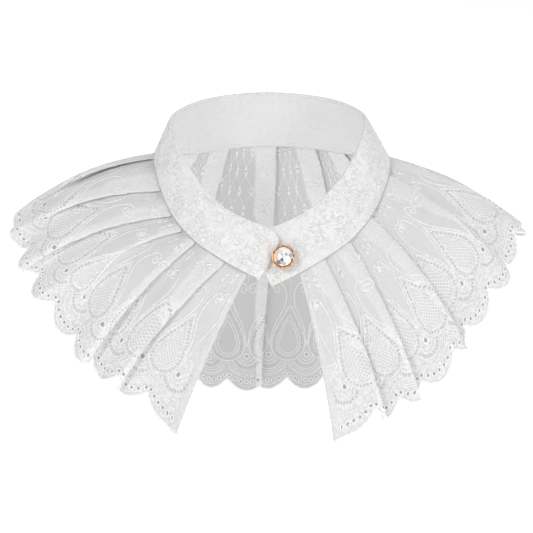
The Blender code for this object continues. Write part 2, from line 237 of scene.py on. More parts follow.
# %% One row of the pleats
def pleat_row(s):
    """Angles and heights over the skirt of the control points of the pleats at s."""
    seam_angle, _, seam_fold, hem_fold, hem_rise = PLEATS.T
    fold = seam_fold + (hem_fold - seam_fold) * ease(s * 0.9 + 0.1 * s**2)
    rise = CLOTH_STACK * 1.06 + (hem_rise - CLOTH_STACK) * s**1.3
    at = np.full_like(seam_angle, s)
    stretch = np.linalg.norm(skirt_point(seam_angle + 0.25, at) - skirt_point(seam_angle - 0.25, at), axis=1) / 0.5
    bend = rise / 4
    inset = np.minimum(bend, 0.4 * fold)
    offsets = np.stack([-bend, 0 * bend, -inset, -fold + inset, -fold, -fold + bend,
                        np.maximum(0, -fold) + 1.6 * bend + 0.5])
    levels = np.stack([rise / 2, rise / 2 - bend, 0.04 * rise, -0.04 * rise, bend - rise / 2, -rise / 2, -rise / 2])
    points = seam_angle + offsets / stretch
    top = seam_angle - np.maximum(fold + 1.7, 2.2 * bend) / stretch
    before = np.concatenate([[RUFFLE_START[0]], points[-1, :-1]])
    before_level = np.concatenate([[-0.3 * CLOTH_STACK], levels[-1, :-1]])
    u = np.arange(1, 4)[:, None] / 3
    rising = before + (top - before) * u
    rising_level = before_level + (levels[0] - before_level) * ease(u)
    angles = np.concatenate([rising, [0.5 * (top + points[0])], points]).T.ravel()
    heights = np.concatenate([rising_level, levels[:1], levels]).T.ravel()
    u = np.arange(1, 5) / 4
    last = points[-1, -1] + (RUFFLE_END[0] - points[-1, -1]) * u
    return (np.concatenate([[RUFFLE_START[0]], angles, last]),
            np.concatenate([[-0.3 * CLOTH_STACK], heights, levels[-1, -1] * (1 - ease(u))]))


def rounded_row(points, t):
    """Uniform cubic B-spline through a row of numbers, with its ends kept, read at t."""
    p = np.concatenate([[2 * points[0] - points[1]], points, [2 * points[-1] - points[-2]]])
    i = np.clip(t.astype(int), 0, len(points) - 2)
    f = t - i
    return ((1 - f) ** 3 * p[i] + (3 * f**3 - 6 * f**2 + 4) * p[i + 1]
            + (3 * f + 3 * f**2 - 3 * f**3 + 1) * p[i + 2] + f**3 * p[i + 3]) / 6


# %% [markdown]
# ## The cloth as a grid
# The lace is one strip, so its grid has rows from the seam to the hem and columns along the
# strip. The columns are spread so that the tight folds at the seam and the wide scallops at
# the hem both get enough. Every grid point also knows its place on the flat strip: c is the
# length along it, and v the distance up from the tips of the scallops. All of the
# embroidery is drawn with c and v, as it would be on the flat lace.

# %% The pleated grid
def cloth_steps(angles, heights, s):
    points = skirt_point(angles, np.full_like(angles, s)) + skirt_normal(angles, np.full_like(angles, s)) * heights[:, None]
    return np.linalg.norm(np.diff(points, axis=0), axis=1)


def scallop(c):
    """How far a scallop reaches below its valleys: depth * |sin|^0.8."""
    return SCALLOP_DEPTH * np.abs(np.sin(np.pi * c / PITCH)) ** 0.8


def scallop_rise(c, length):
    """The scallops with both front corners drawn out to a point."""
    reach = scallop(c)
    for drop, away in zip(CORNER_DROPS, (c, length - c)):
        reach = reach + (SCALLOP_DEPTH + drop - reach) * ease(1 - away / CORNER_LENGTH)
    return reach


def pleated_grid(rows, columns):
    """Rows of skirt point + normal * height, with c along the strip and v up from the hem.
    The first row is tucked up between the two layers of the band, as a seam allowance is."""
    hem_steps = cloth_steps(*pleat_row(1.0), 1.0)
    seam_steps = cloth_steps(*pleat_row(0.0), 0.0)
    count = round(hem_steps.sum() / PITCH)
    length = count * PITCH
    run = np.concatenate([[0], np.cumsum(hem_steps)]) / hem_steps.sum() * length
    share = 0.55 * hem_steps / hem_steps.sum() + 0.25 * seam_steps / seam_steps.sum() + 0.2 / len(hem_steps)
    spread = np.concatenate([[0], np.cumsum(share)])
    t = np.interp(np.linspace(0, spread[-1], columns), spread, np.arange(len(spread)))
    c = rounded_row(run, t)
    rise = scallop_rise(c, length)
    grid = []
    for s in np.linspace(0, 1, rows):
        angles, heights = (rounded_row(row, t) for row in pleat_row(s))
        drop = np.linalg.norm(skirt_point(angles, np.ones(columns)) - skirt_point(angles, np.zeros(columns)), axis=1)
        reach = s * (1 + ease(2 * s - 1) * (rise - SCALLOP_DEPTH) / drop)
        grid.append(skirt_point(angles, reach) + skirt_normal(angles, reach) * heights[:, None])
    angles, heights = (rounded_row(row, t) for row in pleat_row(0.0))
    low, up, out = band_axes(angles)
    tucked = low + unit(up) * 1.2 + out * heights[:, None] * 0.03
    grid = np.array([tucked] + grid)
    steps = np.linalg.norm(np.diff(grid, axis=0), axis=2)
    v = np.concatenate([np.cumsum(steps[::-1], axis=0)[::-1], np.zeros((1, columns))]) + SCALLOP_DEPTH - rise
    return grid, c, v, length, count, t


CLOTH_ROWS, CLOTH_COLUMNS = 56, 880
cloth, cloth_c, cloth_height, cloth_length, repeats, cloth_t = pleated_grid(CLOTH_ROWS - 1, CLOTH_COLUMNS)
print("strip of lace:", round(cloth_length), "mm long,", round(float(cloth_height.max())), "mm at its deepest,", repeats, "scallops")

# %% The pattern drawn out with the front corners
drawn_out = scallop_rise(cloth_c, cloth_length) - scallop(cloth_c)
cloth_v = cloth_height + drawn_out * (1 - ease((cloth_height - cloth_height[-1]) / 45))
print("pattern moved down at the corners by up to", round(float(drawn_out.max()), 1), "mm")

# %% [markdown]
# ## From grids to meshes
# A cloth is a closed shell: an outer and an inner grid, joined round the rim, so that it has
# a real thickness from every side. The faces come from index arrays, and the shell's two
# grids are the middle surface moved half the thickness each way along its normals.

# %% Grids into shells
def grid_normals(p):
    """Mean of the unit normals of the faces round each grid point."""
    across, down = np.diff(p, axis=1), np.diff(p, axis=0)
    face = unit(np.cross(down[:, :-1] + down[:, 1:], across[:-1] + across[1:]))
    total = np.zeros_like(p)
    total[:-1, :-1] += face
    total[:-1, 1:] += face
    total[1:, :-1] += face
    total[1:, 1:] += face
    return unit(total)


def shell_faces(rows, columns):
    """Quads of the outer grid, of the inner grid turned round, and of the rim between them."""
    i = np.arange(rows * columns).reshape(rows, columns)
    a, b, c, d = i[:-1, :-1], i[:-1, 1:], i[1:, 1:], i[1:, :-1]
    outer = np.stack([a, d, c, b], -1).reshape(-1, 4)
    inner = outer[:, ::-1] + i.size
    rim = np.concatenate([i[0, :], i[1:, -1], i[-1, -2::-1], i[-2:0:-1, 0]])
    after = np.roll(rim, -1)
    return np.concatenate([outer, inner, np.stack([rim, after, after + i.size, rim + i.size], -1)])


def make_mesh(name, points, faces, material, smooth=True):
    """A piece from points in millimetres and one or several arrays of faces."""
    sets = faces if isinstance(faces, list) else [faces]
    sides = np.concatenate([np.full(len(f), f.shape[1]) for f in sets])
    mesh = bpy.data.meshes.new(name)
    mesh.vertices.add(len(points))
    mesh.vertices.foreach_set("co", (np.asarray(points) * MM).astype(np.float32).ravel())
    mesh.loops.add(int(sides.sum()))
    mesh.loops.foreach_set("vertex_index", np.concatenate([f.ravel() for f in sets]).astype(np.int32))
    mesh.polygons.add(len(sides))
    mesh.polygons.foreach_set("loop_start", (np.cumsum(sides) - sides).astype(np.int32))
    mesh.update(calc_edges=True)
    mesh.polygons.foreach_set("use_smooth", np.full(len(sides), smooth))
    mesh.validate()
    piece = bpy.data.objects.new(name, mesh)
    bpy.context.scene.collection.objects.link(piece)
    mesh.materials.append(material)
    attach(piece, "root")
    print(name, len(mesh.vertices), "points,", int((sides - 2).sum()), "triangles")
    return piece


def keep_on_points(piece, name, values):
    """Stores three numbers on every point, for the material to read."""
    attribute = piece.data.attributes.new(name, "FLOAT_VECTOR", "POINT")
    attribute.data.foreach_set("vector", np.asarray(values, np.float32).ravel())


# %% [markdown]
# ## Finishes written as formulas
# A material's pattern is a formula over places on the cloth. Blender keeps such a formula as
# a net of small nodes, which is hard to read. A small class wraps one output of a node, so
# that a + b or 1 - mask in Python adds the Math node that does it.

# %% A socket that can be added and multiplied
class Value:
    """One output of a node. Its operators add Math nodes."""

    def __init__(self, finish, socket):
        self.finish, self.socket = finish, socket

    def math(self, operation, other=0.0, swap=False, third=None):
        pair = (other, self) if swap else (self, other)
        values = {0: pair[0], 1: pair[1]}
        if third is not None:
            values[2] = third
        return self.finish.node("ShaderNodeMath", {"operation": operation}, values)

    def __add__(self, other):
        return self.math("ADD", other)

    __radd__ = __add__

    def __mul__(self, other):
        return self.math("MULTIPLY", other)

    __rmul__ = __mul__

    def __sub__(self, other):
        return self.math("SUBTRACT", other)

    def __rsub__(self, other):
        return self.math("SUBTRACT", other, swap=True)

    def __truediv__(self, other):
        return self.math("DIVIDE", other)

    def __pow__(self, other):
        return self.math("POWER", other)

    def __gt__(self, other):
        return self.math("GREATER_THAN", other)

    def __lt__(self, other):
        return self.math("LESS_THAN", other)

    def __abs__(self):
        return self.math("ABSOLUTE")

    def wave(self):
        return self.math("SINE")

    def least(self, other):
        return self.math("MINIMUM", other)

    def most(self, other):
        return self.math("MAXIMUM", other)

    def fraction(self):
        return self.math("FRACT")

    def root(self):
        return self.math("SQRT")

    def between(self, low, high):
        """0 at low, 1 at high, smooth between."""
        return self.finish.node("ShaderNodeMapRange", {"interpolation_type": "SMOOTHSTEP"},
                                {"Value": self, "From Min": low, "From Max": high})


class Finish:
    """A material with one Principled shader, and the nodes that feed it."""

    def __init__(self, name, **constants):
        self.material = bpy.data.materials.new(name)
        self.material.use_nodes = True
        self.tree = self.material.node_tree
        self.shader = self.tree.nodes["Principled BSDF"]
        for socket, value in constants.items():
            self.shader.inputs[socket.replace("_", " ")].default_value = value

    def node(self, kind, settings, values, output=0):
        """Adds a node: its settings first, then the numbers or links of its sockets."""
        made = self.tree.nodes.new(kind)
        for name, value in settings.items():
            if name == "stops":
                ramp = made.color_ramp.elements
                ramp[0].position, ramp[0].color = value[0]
                ramp[1].position, ramp[1].color = value[-1]
                for place, colour in value[1:-1]:
                    ramp.new(place).color = colour
            else:
                setattr(made, name, value)
        for name, value in values.items():
            if isinstance(value, Value):
                self.tree.links.new(value.socket, made.inputs[name])
            else:
                made.inputs[name].default_value = value
        return Value(self, made.outputs[output])

    def place(self, scale=1.0):
        """The point on the object, in metres, times a scale."""
        where = self.node("ShaderNodeTexCoord", {}, {}, "Object")
        return self.node("ShaderNodeVectorMath", {"operation": "SCALE"}, {0: where, "Scale": scale})

    def noise(self, where, scale, detail=2.0, roughness=0.5):
        return self.node("ShaderNodeTexNoise", {}, {"Vector": where, "Scale": scale, "Detail": detail, "Roughness": roughness})

    def on_points(self, name):
        """The three numbers kept on the piece's points."""
        vector = self.node("ShaderNodeAttribute", {"attribute_name": name}, {}, "Vector")
        return [self.node("ShaderNodeSeparateXYZ", {}, {"Vector": vector}, i) for i in range(3)]

    def blend(self, factor, first, second):
        """Colour first where the factor is 0 and second where it is 1."""
        return self.node("ShaderNodeMix", {"data_type": "RGBA"}, {"Factor": factor, "A": first, "B": second}, "Result")

    def feed(self, socket, value):
        self.tree.links.new(value.socket, self.shader.inputs[socket])

    def bump(self, height, distance, strength=1.0):
        """Turns a height from 0 to 1 into a normal; distance is its depth in metres."""
        self.feed("Normal", self.node("ShaderNodeBump", {}, {"Height": height, "Distance": distance, "Strength": strength}))


def grey(value, warmth=0.0):
    """A pale colour: equal red, green and blue, with a little more red and less blue."""
    return (value * (1 + warmth), value, value * (1 - warmth), 1.0)


# %% [markdown]
# ## The lace ground
# The ground is a sheer white cotton. Where a pleat lies double or triple it looks whiter,
# because more threads lie behind each other. Real see-through cloth would need many layers
# of transparency, so the number of layers is counted for every grid point instead, and the
# material reads it. The embroidery has three kinds of detail. Raised satin cords are
# geometry, because they catch the light. Needle pricks and the fine net inside the drops are
# as small as a thread, so they are drawn in the material, from the same formulas. The pricks
# and the eyelet openings are painted grey, as spots of shade, and the inner face of the cloth
# gets painted shade too.

# %% The teardrop motif
DROP_HALF_WIDTH, DROP_CENTRE, DROP_HALF_LENGTH, DROP_TIP, DROP_POWER = 12.0, 42.0, 20.5, 1.3, 0.75


def drop_width(inset):
    """A in the teardrop's formula, so that its half width at the widest place is as wished."""
    q = np.linspace(-1, 1, 400)
    widest = (np.sqrt(1 - q**2) * ((1 - q) / 2) ** DROP_POWER).max()
    return (DROP_HALF_WIDTH - inset - 0.9 * DROP_TIP) / widest


def drop_outline(inset, count=120):
    """Teardrop: half width = sin(t) * (A ((1 - cos t) / 2)^0.75 + tip), height = centre + H cos(t).
    An inset outline has its foot moved up by the inset and its tip down by 2.2 insets."""
    t = np.linspace(0, 2 * np.pi, count, endpoint=False)
    wide = drop_width(inset)
    return np.stack([np.sin(t) * (wide * ((1 - np.cos(t)) / 2) ** DROP_POWER + DROP_TIP),
                     DROP_CENTRE - 0.6 * inset + (DROP_HALF_LENGTH - 1.6 * inset) * np.cos(t)], -1)


def beside_drop(c, v):
    """Distance inside the outline (negative outside) and length along it from its foot."""
    outline = np.roll(drop_outline(0.0, 240), -120, axis=0)
    step = np.linalg.norm(np.diff(outline, axis=0, append=outline[:1]), axis=1)
    along = np.concatenate([[0], np.cumsum(step)[:-1]])
    along = np.minimum(along, step.sum() - along)
    u = c - PITCH * np.clip(np.round(c / PITCH), 1, repeats - 1)
    away = np.hypot(u.ravel()[:, None] - outline[:, 0], v.ravel()[:, None] - outline[:, 1])
    nearest = away.argmin(1)
    q = np.clip((v - DROP_CENTRE) / DROP_HALF_LENGTH, -1, 1)
    inside = np.abs(u) < np.sqrt(1 - q**2) * (drop_width(0) * ((1 - q) / 2) ** DROP_POWER + DROP_TIP)
    distance = away[np.arange(len(nearest)), nearest].reshape(v.shape)
    return np.where(inside, distance, -distance), along[nearest].reshape(v.shape)


print("round a teardrop:", round(float(np.linalg.norm(np.diff(drop_outline(0), axis=0), axis=1).sum())), "mm")

# %% How many layers lie at each grid point
def layers_of_cloth(rows, columns, t):
    """1 or 3: how many times the pleated row passes over each angle, softened at the folds."""
    layers = []
    for s in np.concatenate([[0], np.linspace(0, 1, rows - 1)]):
        angle = rounded_row(pleat_row(s)[0], t)
        low, high = np.minimum(angle[:-1], angle[1:]), np.maximum(angle[:-1], angle[1:])
        over = (angle[:, None] > low - 1e-6) & (angle[:, None] < high + 1e-6)
        runs = np.diff(over.astype(np.int8), axis=1, prepend=0) == 1
        layers.append(np.clip(runs.sum(1), 1, 3))
    layers = np.array(layers, float)
    soft = np.ones(3) / 3
    return np.apply_along_axis(lambda row: np.convolve(np.pad(row, 1, "edge"), soft, "valid"), 1, layers)


cloth_layers = layers_of_cloth(CLOTH_ROWS, CLOTH_COLUMNS, cloth_t)
print("share of the cloth that lies three deep:", round(float((cloth_layers > 2).mean()), 2))

# %% The finish of the lace
FRONT_HEM = 5.0
EYELET_STEP, EYELET_UP, EYELET_HOLE = 0.146, 0.25, 0.033
BIG_EYELET_UP, BIG_HOLE = 0.95, 0.048


def hem_up(u):
    """How far the scalloped edge lies above the tips, in pitches, at u from the middle of a scallop."""
    return SCALLOP_DEPTH / PITCH * (1 - np.abs(np.cos(np.pi * u)) ** 0.8)


EYELETS = [(k * EYELET_STEP, float(hem_up(0.92 * k * EYELET_STEP)) + EYELET_UP - 0.012 * k) for k in range(4)]
lace_finish = Finish("embroidered lace ground", Roughness=0.85, Subsurface_Weight=0.3, Subsurface_Scale=0.0015,
                     Subsurface_Radius=(1, 1, 1))
strip_u, strip_v, front = lace_finish.on_points("strip")
drop_in, drop_along, layers_signed_for_shaded_face = lace_finish.on_points("drop")
# The sign of the layer count marks the inner face of the cloth, which gets painted shade.
layers, wrong_side_painted_shade = abs(layers_signed_for_shaded_face), layers_signed_for_shaded_face < 0.0
u = abs(strip_u.fraction() - 0.5)
# Spots of painted shade where the eyelets are; the bump also sinks them.
eyelet_holes_with_painted_shade = None
for eyelet_u, eyelet_v, hole in [(a, b, EYELET_HOLE) for a, b in EYELETS] + [(0.0, BIG_EYELET_UP, BIG_HOLE)]:
    near = (u - eyelet_u) * (u - eyelet_u) + (strip_v - eyelet_v) * (strip_v - eyelet_v)
    eyelet_hole_shade_here = near.between((hole * 1.15) ** 2, (hole * 0.8) ** 2)
    eyelet_holes_with_painted_shade = eyelet_hole_shade_here if eyelet_holes_with_painted_shade is None else eyelet_holes_with_painted_shade.most(eyelet_hole_shade_here)
# Rows of pricks along the drops and round the big eyelet, painted grey as spots of shade.
NEEDLE_STEP, NEEDLE_HOLE = 2.45, 0.62
along_cell = ((drop_along / NEEDLE_STEP).fraction() - 0.5) * NEEDLE_STEP
across_cell = drop_in - 1.9
needle_holes_with_painted_shade = (along_cell * along_cell + across_cell * across_cell).between(NEEDLE_HOLE**2 * 1.5, NEEDLE_HOLE**2 * 0.3)
arc_v = BIG_EYELET_UP - strip_v
arc_radius = (u * u + arc_v * arc_v).root()
arc_turn = lace_finish.node("ShaderNodeMath", {"operation": "ARCTAN2"}, {0: u, 1: arc_v})
outside_drop = drop_in.between(-0.6, -1.1)
for radius, count in ((0.315, 13.0),):
    turn_cell = ((arc_turn * (count / math.pi)).fraction() - 0.5) * (radius * math.pi / count)
    ring_cell = arc_radius - radius
    dot_hole_shade_here = (turn_cell * turn_cell + ring_cell * ring_cell).between(0.026**2 * 1.4, 0.026**2 * 0.3)
    needle_holes_with_painted_shade = needle_holes_with_painted_shade.most(dot_hole_shade_here * outside_drop * (arc_turn < 1.9))
net = abs(((strip_u + strip_v) * 11.0).fraction() - 0.5).most(abs(((strip_u - strip_v) * 11.0).fraction() - 0.5))
inside_net = drop_in.between(5.7, 6.3)
net_line = net.between(0.34, 0.44) * inside_net
sheer = (drop_in.between(-1.0, -1.8) * strip_v.between(1.42, 1.5)).most(strip_v.between(2.45, 2.55))
plain = front.between(FRONT_HEM / PITCH * 1.02, FRONT_HEM / PITCH * 0.98)
cloth_place = lace_finish.place()
threads = lace_finish.noise(cloth_place, 900.0, 3.0, 0.7)
cloud = lace_finish.noise(cloth_place, 60.0, 2.0)
grain = lace_finish.noise(cloth_place, 520.0, 1.0, 0.5).between(0.35, 0.65) - 0.5
double = layers.between(1.2, 2.6).most(plain * 0.55)
stitched = (1 - sheer) * (1 - plain)
lightness = double * 0.55 + stitched * 0.26 + threads * 0.5 + (threads - 0.5) * (stitched * 0.9 + 0.5) + grain * (stitched * 0.4 + 0.15) + cloud * 0.25 - 0.22
tone = lace_finish.blend(lightness.between(0.0, 1.2), grey(0.63), grey(0.86))
tone = lace_finish.blend(inside_net * (1 - net_line), tone, grey(0.64))
tone = lace_finish.blend(net_line, tone, grey(0.90))
# Pricks painted grey as the shade seen through them, not cut through.
tone = lace_finish.blend(needle_holes_with_painted_shade * (1 - plain), tone, grey(0.50))
# Eyelet openings are painted dark grey as the shade seen through them, not cut through.
tone = lace_finish.blend(eyelet_holes_with_painted_shade * (1 - plain), tone, grey(0.38))
# Painted shade: the inner face, where it lies single, is darkened towards grey as if in shadow.
tone = lace_finish.blend(wrong_side_painted_shade * (1 - double) * 0.7, tone, grey(0.53))
lace_finish.feed("Base Color", tone)
relief = threads * 0.35 + net_line - needle_holes_with_painted_shade - eyelet_holes_with_painted_shade + stitched * threads * 0.5
lace_finish.bump(relief, 0.0003, 0.6)

# %% The lace cloth
LACE_THICKNESS = 0.36


def cloth_shell(name, middle, thickness, material):
    """Middle surface moved half the thickness out and in along its normals."""
    normal = grid_normals(middle) * np.asarray(thickness)[..., None] / 2
    rows, columns = middle.shape[:2]
    points = np.concatenate([(middle + normal).reshape(-1, 3), (middle - normal).reshape(-1, 3)])
    return make_mesh(name, points, shell_faces(rows, columns), material)


ends = np.minimum(cloth_c, cloth_length - cloth_c)
hem_fold = 0.5 * ease((FRONT_HEM - ends) / 0.6 + 0.5)
ruffle_cloth = cloth_shell("ruffle_cloth", cloth, LACE_THICKNESS + np.tile(hem_fold, (CLOTH_ROWS, 1)), lace_finish.material)
strip = np.stack([np.tile(cloth_c, (CLOTH_ROWS, 1)), cloth_v, np.tile(ends, (CLOTH_ROWS, 1))], -1) / PITCH
keep_on_points(ruffle_cloth, "strip", np.concatenate([strip.reshape(-1, 3)] * 2))
drop = np.stack([*beside_drop(np.tile(cloth_c, (CLOTH_ROWS, 1)), cloth_v), cloth_layers], -1).reshape(-1, 3)
# The inner shell's points get a negative layer count, so that the finish paints shade on that face.
keep_on_points(ruffle_cloth, "drop", np.concatenate([drop, drop * [1, 1, -1]]))
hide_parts("ruffle")

# %% [markdown]
# ## The satin cords of the embroidery
# Satin stitch stands up from the cloth as a smooth round cord. Every cord is drawn once on
# the flat strip, repeated for every scallop, and carried onto the pleated cloth by looking up
# where its c and v lie in the grid. A cord's section is an ellipse across the way it runs,
# and the cord shows on both faces of the cloth, as machine embroidery does.

# %% From the flat strip onto the cloth
cloth_out = grid_normals(cloth)


def on_cloth(c, v):
    """Point and way out at (c, v): the two grid columns round c, the two rows round v, blended."""
    shape = np.shape(c)
    c, v = np.ravel(c), np.ravel(v)
    column = np.interp(c, cloth_c, np.arange(CLOTH_COLUMNS))
    j = np.minimum(column.astype(int), CLOTH_COLUMNS - 2)
    f = column - j
    heights = cloth_v[:, j] * (1 - f) + cloth_v[:, j + 1] * f
    i = np.clip((heights > v).sum(0) - 1, 0, CLOTH_ROWS - 2)
    n = np.arange(len(c))
    g = np.clip((heights[i, n] - v) / (heights[i, n] - heights[i + 1, n]), 0, 1)[:, None]
    f = f[:, None]
    found = [(grid[i, j] * (1 - f) + grid[i, j + 1] * f) * (1 - g) + (grid[i + 1, j] * (1 - f) + grid[i + 1, j + 1] * f) * g
             for grid in (cloth, cloth_out)]
    return found[0].reshape(*shape, 3), unit(found[1]).reshape(*shape, 3)


def cords(path, out, half_width, half_height, sides, closed=False):
    """Section at each point: half width * cos * side + half height * sin * out. Returns points and quads."""
    tangent = unit(np.roll(path, -1, 1) - np.roll(path, 1, 1)) if closed else unit(np.gradient(path, axis=1))
    out = unit(out - tangent * dot(out, tangent))
    side = np.cross(out, tangent)
    turn = 2 * np.pi * (np.arange(sides) + 0.5) / sides
    half_width = np.broadcast_to(half_width, path.shape[:2])[:, :, None, None]
    points = (path[:, :, None] + half_width * np.cos(turn)[:, None] * side[:, :, None]
              + half_height * np.sin(turn)[:, None] * out[:, :, None])
    index = np.arange(points.shape[0] * points.shape[1] * sides).reshape(points.shape[:3])
    here = index if closed else index[:, :-1]
    ahead = np.roll(index, -1, 1) if closed else index[:, 1:]
    faces = [np.stack([here, np.roll(here, -1, 2), np.roll(ahead, -1, 2), ahead], -1).reshape(-1, 4)]
    if not closed:
        for first in range(1, sides - 2, 2):
            faces.append(index[:, -1][:, [0, first, first + 1, first + 2]])
            faces.append(index[:, 0][:, [0, first + 2, first + 1, first]])
    return points.reshape(-1, 3), np.concatenate(faces)


def joined(parts):
    """Several sets of points and quads as one."""
    starts = np.cumsum([0] + [len(points) for points, _ in parts[:-1]])
    return (np.concatenate([points for points, _ in parts]),
            np.concatenate([faces + start for (_, faces), start in zip(parts, starts)]))


# %% Drawing on the flat strip
cloth_top = cloth_v[1] - 0.3


def even(curve, spacing, closed=False):
    """The same curve with its points an even distance apart."""
    curve = np.concatenate([curve, curve[:1]]) if closed else np.asarray(curve, float)
    run = np.concatenate([[0], np.cumsum(np.linalg.norm(np.diff(curve, axis=0), axis=1))])
    count = max(3, round(run[-1] / spacing) + 1)
    at = np.linspace(0, run[-1], count)[: -1 if closed else None]
    return np.stack([np.interp(at, run, curve[:, 0]), np.interp(at, run, curve[:, 1])], -1)


def sewn(curve, middles, half_width, half_height, sides, closed=False, lift=0.1):
    """One curve sewn at several places along the strip, kept off the front hems and under the band.
    A lift moves it towards the right side of the cloth, so that less of it shows on the wrong side."""
    c = curve[:, 0] + np.asarray(middles)[:, None]
    v = np.broadcast_to(curve[:, 1], c.shape)
    c_on = np.clip(c, FRONT_HEM, cloth_length - FRONT_HEM)
    v_on = np.minimum(v, np.interp(c_on, cloth_c, cloth_top))
    seen = ((c_on == c) & (v_on == v)).mean(1) > 0.25
    if not seen.any():
        return []
    path, out = on_cloth(c_on[seen], v_on[seen])
    return [cords(path + out * lift, out, half_width, half_height, sides, closed)]


scallop_middles = (np.arange(repeats) + 0.5) * PITCH
valley_places = np.arange(1, repeats) * PITCH

# %% The finish of the threads
thread_finish = Finish("white satin thread", Roughness=0.5)
thread_place = thread_finish.place()
strands = thread_finish.noise(thread_place, 700.0, 2.0, 0.6)
thread_finish.feed("Base Color", thread_finish.blend(strands.between(0.35, 0.65), grey(0.81), grey(0.97)))
thread_finish.bump(strands, 0.0002, 0.4)


def embroidery(name, parts, material=None):
    points, faces = joined(parts)
    piece = make_mesh(name, points, faces, material or thread_finish.material)
    return piece


# %% Outlines of the teardrops, the arcs and the vases
lines = []
for inset, half_width in ((0.0, 0.42), (3.5, 0.34), (5.3, 0.3)):
    outline = even(drop_outline(inset), 1.25, closed=True)
    lines += sewn(outline, valley_places, half_width, 0.42, 4, closed=True)


def clear_of_drops(curve, margin):
    """The part of a curve on the right of a scallop's middle that stays outside the next teardrop."""
    distance = beside_drop(curve[:, 0] + scallop_middles[3], curve[:, 1])[0]
    stop = np.argmax(distance > -margin) if (distance > -margin).any() else len(curve)
    return curve[:max(stop, 2)]


def arch(radius):
    """Circle round the big eyelet from below: u = r sin, v = eyelet - r cos, then straight up."""
    t = np.radians(np.linspace(0, 100, 60))
    u, v = radius * np.sin(t), BIG_EYELET_UP * PITCH - radius * np.cos(t)
    half = clear_of_drops(np.stack([u, v], -1), 0.4)
    return np.concatenate([half[::-1] * [-1, 1], half[1:]])


for radius, half_width in ((0.165, 0.34), (0.245, 0.34), (0.385, 0.36), (0.445, 0.30), (0.51, 0.36)):
    lines += sewn(even(arch(radius * PITCH), 1.25), scallop_middles, half_width, 0.40, 4)

VASE = np.array([(0.0, 1.20), (0.03, 1.30), (0.045, 1.50), (0.09, 1.72), (0.19, 1.95), (0.30, 2.15), (0.38, 2.36),
                 (0.395, 2.56), (0.355, 2.75), (0.265, 2.88), (0.15, 2.93), (0.045, 2.88), (0.01, 2.76), (0.055, 2.655),
                 (0.145, 2.65), (0.185, 2.745), (0.135, 2.83), (0.075, 2.80), (0.08, 2.73)]) * PITCH
t = np.linspace(0, len(VASE) - 1.001, 90)
vase = np.stack([rounded_row(VASE[:, 0], t), rounded_row(VASE[:, 1], t)], -1)
for side in (-1, 1):
    lines += sewn(even(vase * [side, 1], 1.25), scallop_middles, 0.5, 0.46, 4)
ruffle_satin_lines = embroidery("ruffle_satin_lines", lines)

# %% Lines that follow the scallops, and the thick edge
edge_lines = []
u_even = np.linspace(-0.5, 0.5, 25)
for up, half_width in ((0.135, 0.28), (0.385, 0.34)):
    curve = np.stack([u_even * PITCH, (hem_up(u_even * 0.96) + up) * PITCH], -1)
    edge_lines += sewn(curve, scallop_middles, half_width, 0.4, 4)
edge_c = np.linspace(0.4, cloth_length - 0.4, round(cloth_length / 0.85))
edge_v = SCALLOP_DEPTH - scallop(edge_c) + 0.75
edge_path, edge_out = on_cloth(edge_c[None], edge_v[None])
buttonhole = 0.85 + 0.13 * np.cos(np.arange(len(edge_c)) * np.pi)
edge_lines.append(cords(edge_path, edge_out, buttonhole[None], 0.5, 8))
ruffle_edge_stitch = embroidery("ruffle_edge_stitch", edge_lines)

# %% [markdown]
# ## Eyelets, flowers and the net of fine lines
# Each eyelet is a small hole that is sewn over with a ring of thread. The hole is not cut:
# it is a grey spot of painted shade in the finish, because it is smaller than the steps of the
# cloth's grid, and the ring is a real cord. Higher up lie small flowers of eight petals, joined
# by a net of fine wavy lines.
# Alternate rows are set half a step sideways, which gives the net its pointed arches.

# %% Rings round the eyelets
def ring(middle, radius, count=12):
    t = np.linspace(0, 2 * np.pi, count, endpoint=False)
    return np.stack([middle[0] * PITCH + radius * np.cos(t), middle[1] * PITCH + radius * np.sin(t)], -1)


rings = []
for k, (eyelet_u, eyelet_v) in enumerate(EYELETS):
    for side in ((1,) if k == 0 else (-1, 1)):
        rings += sewn(ring((side * eyelet_u, eyelet_v), 1.35), scallop_middles, 0.5, 0.5, 5, closed=True)
rings += sewn(ring((0, BIG_EYELET_UP), 1.85, 16), scallop_middles, 0.6, 0.55, 5, closed=True)
ruffle_eyelet_rings = embroidery("ruffle_eyelet_rings", rings)

# %% Star flowers and the net of curved lines above the motifs
flowers, petals = [], 8
LEVEL, FIRST_LEVEL = 0.53, 3.32
top_level = float(cloth_v.max()) / PITCH
quarter_places = np.concatenate([scallop_middles - PITCH / 4, scallop_middles + PITCH / 4])
half_places = np.concatenate([scallop_middles, valley_places])
for row in range(int((top_level - FIRST_LEVEL) / LEVEL) + 1):
    up, middles = FIRST_LEVEL + LEVEL * row, quarter_places if row % 2 else half_places
    for petal in range(petals):
        turn = 2 * np.pi * (petal + 0.5) / petals
        reach = np.array([0.5, 1.5, 2.5])[:, None] * [0.95 * np.sin(turn), 1.7 * np.cos(turn)] + [0, up * PITCH]
        flowers += sewn(reach, middles, np.array([[0.34, 0.66, 0.38]]), 0.44, 4, lift=0.05)
    rise = np.linspace(0.2, 0.8, 12)
    for side in (-1, 1):
        wave = np.stack([side * 0.25 * PITCH * (0.5 - 0.5 * np.cos(np.pi * rise)), (up + LEVEL * rise) * PITCH], -1)
        flowers += sewn(wave, middles, 0.2, 0.3, 4, lift=0.0)
for foot, middles in ((2.96, scallop_middles), (2.42, valley_places)):
    stem = np.stack([np.zeros(14), np.linspace(foot, FIRST_LEVEL - 0.13, 14) * PITCH], -1)
    flowers += sewn(stem, middles, 0.2, 0.3, 4, lift=0.0)
ruffle_star_flowers = embroidery("ruffle_star_flowers", flowers)

